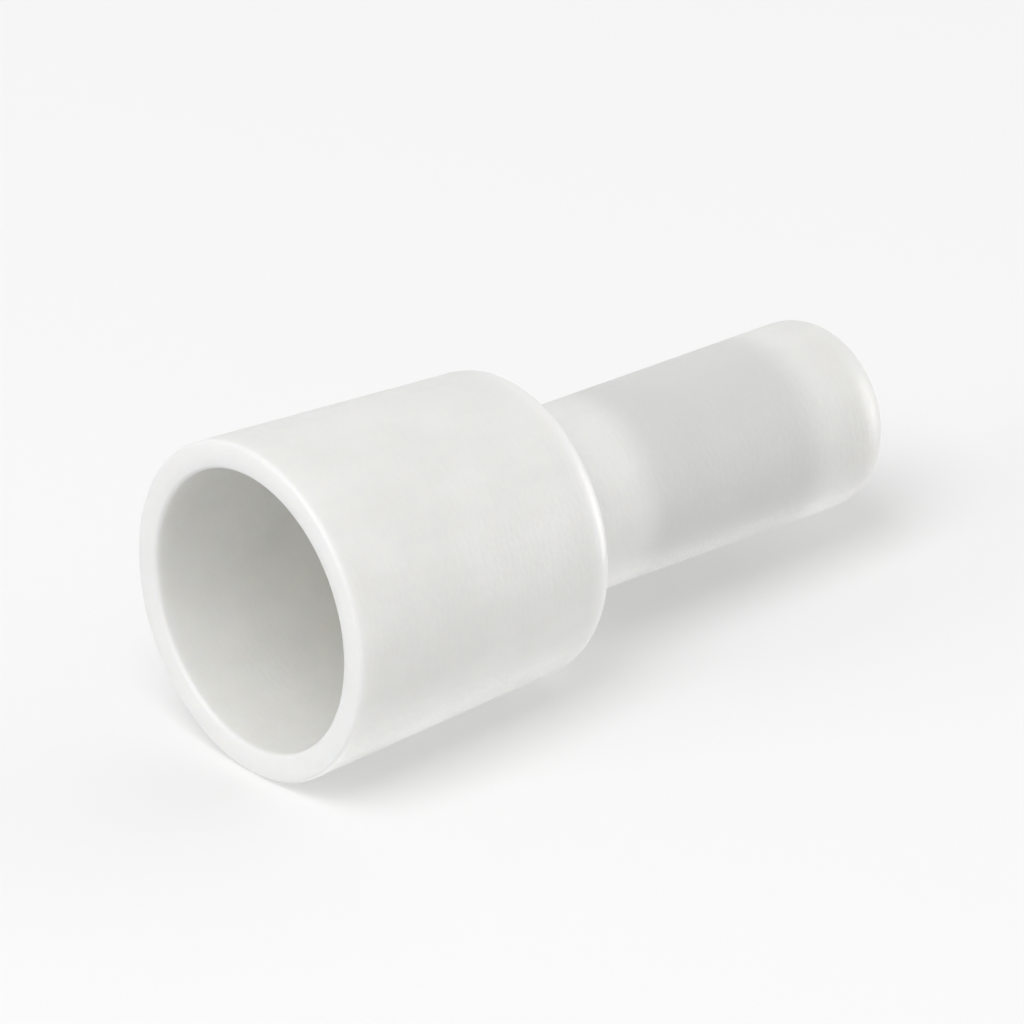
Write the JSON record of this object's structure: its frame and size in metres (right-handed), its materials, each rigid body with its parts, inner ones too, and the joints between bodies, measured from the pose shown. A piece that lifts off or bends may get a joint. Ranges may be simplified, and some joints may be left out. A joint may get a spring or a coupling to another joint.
{
  "type": "closed end crimp connector",
  "caption": "Stepped insulating cap with a wide open mouth, a rounded shoulder and a narrow closed nose that holds a plated crimp sleeve for joining stripped wire ends.",
  "frame": {"origin": "centre of the mouth rim, on the plane that the connector stands on", "axes": "+Z along the axis of the connector, from the open mouth to the closed end"},
  "size_m": [0.012, 0.012, 0.0258],
  "materials": {
    "natural_nylon": "satin natural nylon, milky and slightly translucent",
    "tinned_copper": "bright tin plate on drawn copper tube"
  },
  "bodies": {
    "root": {"insulating_cap": "natural_nylon", "crimp_sleeve": "tinned_copper"}
  },
  "joints": []
}
